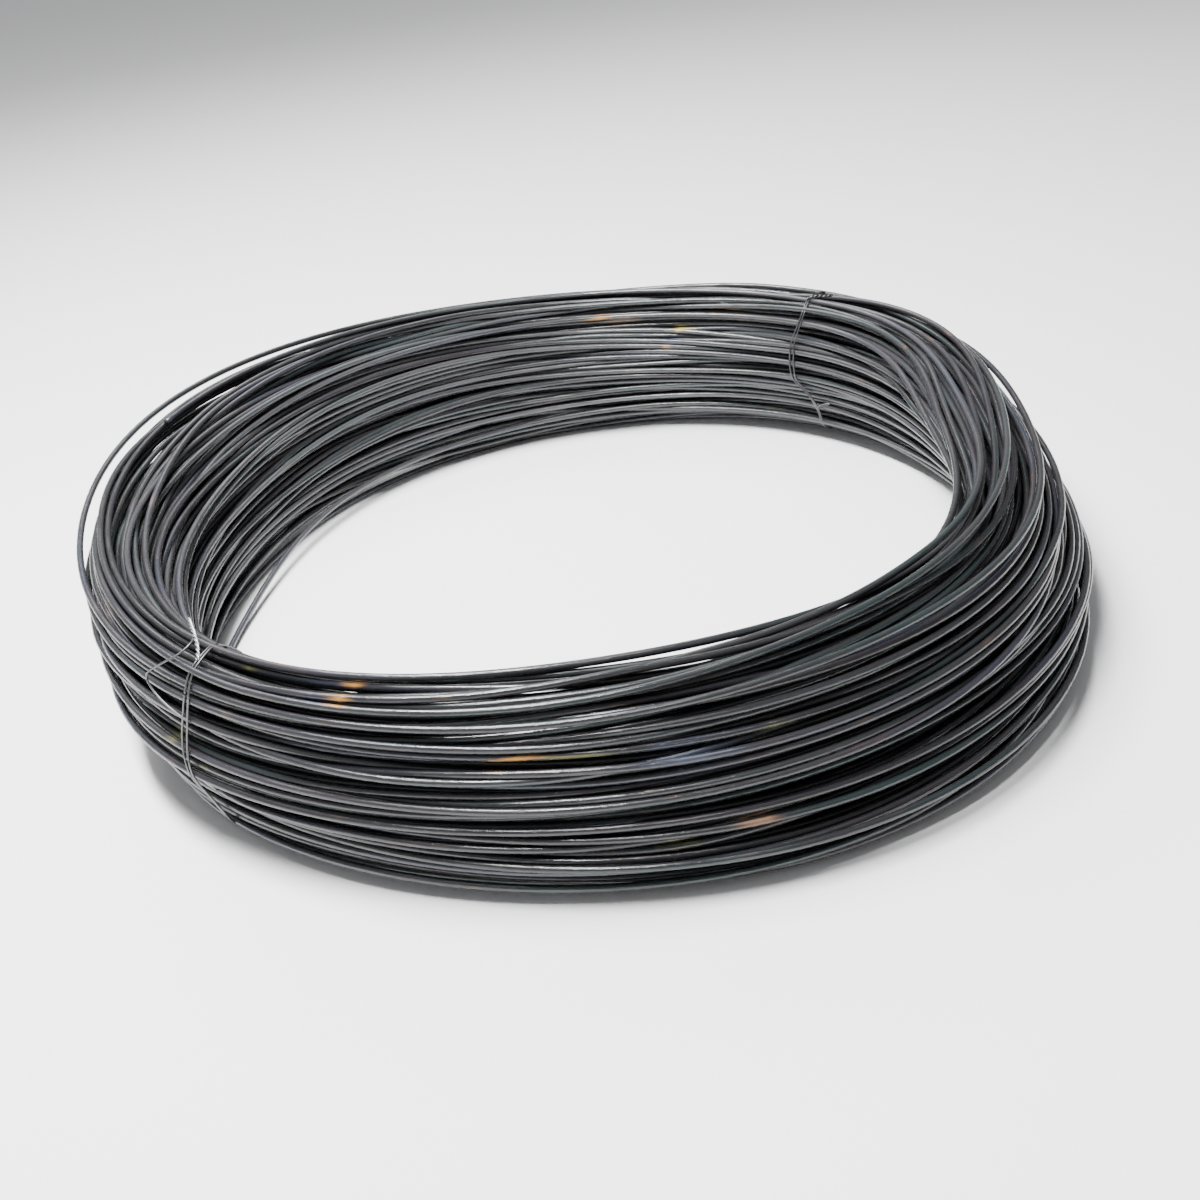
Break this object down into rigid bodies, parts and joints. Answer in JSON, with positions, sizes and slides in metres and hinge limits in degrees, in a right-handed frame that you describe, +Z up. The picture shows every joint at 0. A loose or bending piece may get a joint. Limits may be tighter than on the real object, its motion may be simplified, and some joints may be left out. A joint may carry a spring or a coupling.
{
  "type": "coil of wire rod",
  "caption": "Round coil of hot rolled steel wire rod lying flat, with a clear eye, held by doubled and twisted tie wires on opposite sides.",
  "frame": {"origin": "centre of the coil's eye, on the floor it lies on", "axes": "+Z up along the coil's axis; the front of the coil faces -Y"},
  "size_m": [1.01, 1.01, 0.188],
  "materials": {
    "rolled_rod": "dark mill scale with a satin sheen, heat tints and rust spots",
    "bright_tie_wire": "soft drawn wire, dull grey with bright twisted end",
    "dull_tie_wire": "soft annealed wire, dark grey"
  },
  "bodies": {
    "root": {"rod_coil": "rolled_rod", "front_tie": "bright_tie_wire", "back_tie": "dull_tie_wire"}
  },
  "joints": []
}
